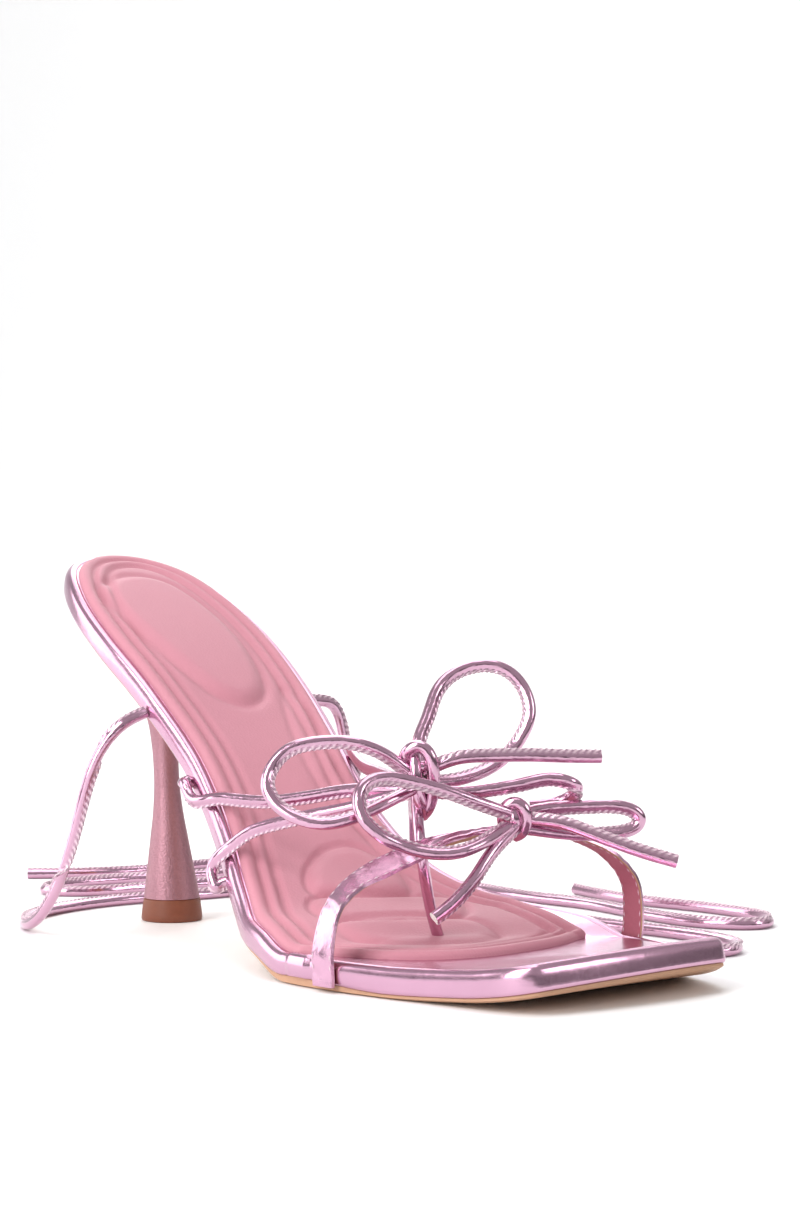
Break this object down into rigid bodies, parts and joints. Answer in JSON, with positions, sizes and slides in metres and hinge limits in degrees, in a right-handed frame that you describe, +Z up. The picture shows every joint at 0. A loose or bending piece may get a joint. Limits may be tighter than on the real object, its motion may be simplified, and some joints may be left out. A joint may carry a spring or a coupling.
{
  "type": "stiletto sandal",
  "caption": "High-heeled open sandal with a square toe, padded insole, thong and toe straps, cord bows, flared stiletto heel and loose ankle ties.",
  "frame": {"origin": "centre of the heel tip's underside, on the floor", "axes": "+X towards the toe, +Y towards the big-toe side, +Z up; the shoe stands on its heel tip and forefoot"},
  "size_m": [0.2968, 0.1725, 0.0982],
  "materials": {
    "foil": "mirror-bright pink metallic foil on synthetic leather",
    "pad": "matte fine-grained rose lining",
    "heel_wrap": "satin fine-grained mauve metallic",
    "lift": "matte brown",
    "outsole": "matte tan"
  },
  "bodies": {
    "root": {"outsole": "outsole", "footbed": "foil", "insole_pad": "pad", "heel": "heel_wrap", "top_lift": "lift", "upper": "foil", "rear_bow": "foil", "front_bow": "foil", "tie_outer": "foil", "tie_inner": "foil"}
  },
  "joints": []
}
